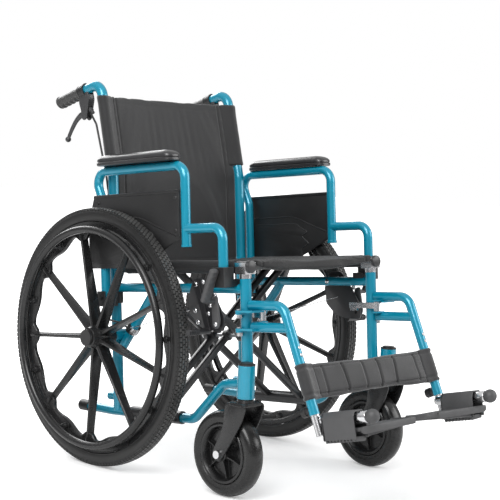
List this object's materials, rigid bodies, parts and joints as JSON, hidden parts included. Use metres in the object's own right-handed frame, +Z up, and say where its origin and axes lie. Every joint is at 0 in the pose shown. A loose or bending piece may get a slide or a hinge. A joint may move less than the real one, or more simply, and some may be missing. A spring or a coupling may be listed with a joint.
{
  "type": "folding manual wheelchair",
  "caption": "Folding manual wheelchair with raked tube frame, cross-brace fold, moulded rear wheels, swivel castors, flip-back armrests and swing-away footrests.",
  "frame": {"origin": "on the floor at the centre of the overall footprint, X = 0 in the plane of symmetry", "axes": "+Z up, -Y the way the seated person faces, +X the seated person's left"},
  "size_m": [0.656, 1.0924, 0.9125],
  "materials": {
    "frame_paint": "gloss paint",
    "black_metal": "satin black paint",
    "bright_metal": "bright plated",
    "rubber_tyre": "matt",
    "black_plastic": "fine grain",
    "wheel_plastic": "satin moulded",
    "foot_plastic": "fine grain",
    "grip_rubber": "matt",
    "pad_foam": "soft skin foam",
    "black_fabric": "woven nylon"
  },
  "bodies": {
    "right_side": {"side_frame_right": "frame_paint", "frame_end_caps_right": "black_plastic", "post_fittings_right": "bright_metal", "wheel_axle_right": "bright_metal", "armrest_mounts_right": "black_plastic", "brake_bracket_right": "black_metal", "push_grip_right": "grip_rubber", "brake_cable_set_right": "black_plastic", "back_sling": "black_fabric"},
    "brace_a": {"cross_brace_right": "black_metal", "brace_pivot_bolt": "bright_metal"},
    "brace_b": {"cross_brace_left": "black_metal"},
    "seat": {"seat_sling": "black_fabric"},
    "left_side": {"side_frame_left": "frame_paint", "frame_end_caps_left": "black_plastic", "post_fittings_left": "bright_metal", "wheel_axle_left": "bright_metal", "armrest_mounts_left": "black_plastic", "brake_bracket_left": "black_metal", "push_grip_left": "grip_rubber", "brake_cable_set_left": "black_plastic"},
    "rear_wheel_left": {"wheel_left": "wheel_plastic", "tyre_left": "rubber_tyre", "handrim_left": "black_plastic"},
    "caster_fork_left": {"caster_fork_left": "black_metal", "caster_axle_left": "bright_metal"},
    "caster_wheel_left": {"caster_wheel_left": "wheel_plastic", "caster_tyre_left": "rubber_tyre"},
    "armrest_left": {"armrest_tube_left": "frame_paint", "armrest_pad_left": "pad_foam", "clothing_guard_left": "black_plastic"},
    "brake_lever_left": {"brake_lever_left": "foot_plastic"},
    "brake_shoe_left": {"brake_shoe_left": "black_metal"},
    "hand_lever_left": {"hand_lever_left": "black_metal"},
    "hanger_left": {"hanger_left": "frame_paint", "height_clamp_left": "black_plastic"},
    "release_latch_left": {"release_latch_left": "bright_metal"},
    "footrest_left": {"footrest_tube_left": "bright_metal"},
    "footplate_bush_left": {"footplate_bush_left": "black_plastic"},
    "footplate_left": {"footplate_left": "foot_plastic"},
    "rear_wheel_right": {"wheel_right": "wheel_plastic", "tyre_right": "rubber_tyre", "handrim_right": "black_plastic"},
    "caster_fork_right": {"caster_fork_right": "black_metal", "caster_axle_right": "bright_metal"},
    "caster_wheel_right": {"caster_wheel_right": "wheel_plastic", "caster_tyre_right": "rubber_tyre"},
    "armrest_right": {"armrest_tube_right": "frame_paint", "armrest_pad_right": "pad_foam", "clothing_guard_right": "black_plastic"},
    "brake_lever_right": {"brake_lever_right": "foot_plastic"},
    "brake_shoe_right": {"brake_shoe_right": "black_metal"},
    "hand_lever_right": {"hand_lever_right": "black_metal"},
    "hanger_right": {"hanger_right": "frame_paint", "height_clamp_right": "black_plastic", "calf_strap": "black_fabric"},
    "release_latch_right": {"release_latch_right": "bright_metal"},
    "footrest_right": {"footrest_tube_right": "bright_metal"},
    "footplate_bush_right": {"footplate_bush_right": "black_plastic"},
    "footplate_right": {"footplate_right": "foot_plastic"}
  },
  "joints": [
    {"name": "fold", "type": "hinge", "parent": "right_side", "child": "brace_a", "pos_m": [-0.214, 0.10642, 0.13216], "axis": [0, -0.9962, 0.0872], "range_deg": [0, 38], "deforming": ["seat_sling", "back_sling", "calf_strap"]},
    {"name": "brace_cross", "type": "hinge", "parent": "brace_a", "child": "brace_b", "pos_m": [0, 0.12145, 0.304], "axis": [0, -0.9962, 0.0872], "range_deg": [-76, 0]},
    {"name": "side_follow", "type": "hinge", "parent": "brace_b", "child": "left_side", "pos_m": [0.214, 0.10642, 0.13216], "axis": [0, -0.9962, 0.0872], "range_deg": [0, 38]},
    {"name": "seat_level", "type": "hinge", "parent": "brace_a", "child": "seat", "pos_m": [0.214, 0.02691, 0.48543], "axis": [0, -0.9962, 0.0872], "range_deg": [-38, 0]},
    {"name": "wheel_spin_left", "type": "hinge", "parent": "left_side", "child": "rear_wheel_left", "pos_m": [0.287, 0.242, 0.305], "axis": [1, 0, 0], "continuous": true},
    {"name": "caster_swivel_left", "type": "hinge", "parent": "left_side", "child": "caster_fork_left", "pos_m": [0.243, -0.21, 0.25], "axis": [0, 0, 1], "continuous": true},
    {"name": "caster_spin_left", "type": "hinge", "parent": "caster_fork_left", "child": "caster_wheel_left", "pos_m": [0.243, -0.162, 0.095], "axis": [1, 0, 0], "continuous": true},
    {"name": "armrest_flip_left", "type": "hinge", "parent": "left_side", "child": "armrest_left", "pos_m": [0.248, 0.26306, 0.39651], "axis": [-1, 0, 0], "range_deg": [0, 95]},
    {"name": "park_brake_left", "type": "hinge", "parent": "left_side", "child": "brake_lever_left", "pos_m": [0.243, -0.11349, 0.37224], "axis": [1, 0, 0], "range_deg": [0, 35]},
    {"name": "brake_shoe_turn_left", "type": "hinge", "parent": "left_side", "child": "brake_shoe_left", "pos_m": [0.238, -0.03916, 0.45307], "axis": [1, 0, 0], "range_deg": [0, 7]},
    {"name": "hand_brake_left", "type": "hinge", "parent": "left_side", "child": "hand_lever_left", "pos_m": [0.214, 0.39921, 0.82829], "axis": [1, 0, 0], "range_deg": [0, 22], "stiffness_Nm_per_rad": 0.4},
    {"name": "hanger_swing_left", "type": "hinge", "parent": "left_side", "child": "hanger_left", "pos_m": [0.236, -0.17503, 0.39168], "axis": [0, 0.0872, 0.9962], "range_deg": [0, 90], "deforming": ["calf_strap"]},
    {"name": "latch_left", "type": "hinge", "parent": "hanger_left", "child": "release_latch_left", "pos_m": [0.195, -0.20656, 0.39845], "axis": [0, -0.0872, -0.9962], "range_deg": [-18, 0]},
    {"name": "footrest_height_left", "type": "slide", "parent": "hanger_left", "child": "footrest_left", "axis": [0, -0.4226, -0.9063], "range_m": [0, 0.05]},
    {"name": "footplate_lift_left", "type": "hinge", "parent": "footrest_left", "child": "footplate_bush_left", "pos_m": [0.206, -0.39166, 0.19882], "axis": [0, -0.9744, 0.225], "range_deg": [0, 114]},
    {"name": "footplate_flip_left", "type": "hinge", "parent": "footplate_bush_left", "child": "footplate_left", "pos_m": [0.206, -0.39166, 0.19882], "axis": [0, 0.9744, -0.225], "range_deg": [-92, 0]},
    {"name": "wheel_spin_right", "type": "hinge", "parent": "right_side", "child": "rear_wheel_right", "pos_m": [-0.287, 0.242, 0.305], "axis": [1, 0, 0], "continuous": true},
    {"name": "caster_swivel_right", "type": "hinge", "parent": "right_side", "child": "caster_fork_right", "pos_m": [-0.243, -0.21, 0.25], "axis": [0, 0, 1], "continuous": true},
    {"name": "caster_spin_right", "type": "hinge", "parent": "caster_fork_right", "child": "caster_wheel_right", "pos_m": [-0.243, -0.162, 0.095], "axis": [1, 0, 0], "continuous": true},
    {"name": "armrest_flip_right", "type": "hinge", "parent": "right_side", "child": "armrest_right", "pos_m": [-0.248, 0.26306, 0.39651], "axis": [-1, 0, 0], "range_deg": [0, 95]},
    {"name": "park_brake_right", "type": "hinge", "parent": "right_side", "child": "brake_lever_right", "pos_m": [-0.243, -0.11349, 0.37224], "axis": [1, 0, 0], "range_deg": [0, 35]},
    {"name": "brake_shoe_turn_right", "type": "hinge", "parent": "right_side", "child": "brake_shoe_right", "pos_m": [-0.238, -0.03916, 0.45307], "axis": [1, 0, 0], "range_deg": [0, 7]},
    {"name": "hand_brake_right", "type": "hinge", "parent": "right_side", "child": "hand_lever_right", "pos_m": [-0.214, 0.39921, 0.82829], "axis": [1, 0, 0], "range_deg": [0, 22], "stiffness_Nm_per_rad": 0.4},
    {"name": "hanger_swing_right", "type": "hinge", "parent": "right_side", "child": "hanger_right", "pos_m": [-0.236, -0.17503, 0.39168], "axis": [0, -0.0872, -0.9962], "range_deg": [0, 90], "deforming": ["calf_strap"]},
    {"name": "latch_right", "type": "hinge", "parent": "hanger_right", "child": "release_latch_right", "pos_m": [-0.195, -0.20656, 0.39845], "axis": [0, 0.0872, 0.9962], "range_deg": [-18, 0]},
    {"name": "footrest_height_right", "type": "slide", "parent": "hanger_right", "child": "footrest_right", "axis": [0, -0.4226, -0.9063], "range_m": [0, 0.05]},
    {"name": "footplate_lift_right", "type": "hinge", "parent": "footrest_right", "child": "footplate_bush_right", "pos_m": [-0.206, -0.39166, 0.19882], "axis": [0, 0.9744, -0.225], "range_deg": [0, 114]},
    {"name": "footplate_flip_right", "type": "hinge", "parent": "footplate_bush_right", "child": "footplate_right", "pos_m": [-0.206, -0.39166, 0.19882], "axis": [0, -0.9744, 0.225], "range_deg": [-92, 0]}
  ],
  "couplings": [
    {"joint": "brace_cross", "follows": "fold", "ratio": -2},
    {"joint": "side_follow", "follows": "fold", "ratio": 1},
    {"joint": "seat_level", "follows": "fold", "ratio": -1},
    {"joint": "brake_shoe_turn_left", "follows": "park_brake_left", "ratio": 0.2},
    {"joint": "footplate_lift_left", "follows": "fold", "ratio": 3},
    {"joint": "brake_shoe_turn_right", "follows": "park_brake_right", "ratio": 0.2},
    {"joint": "footplate_lift_right", "follows": "fold", "ratio": 3}
  ]
}
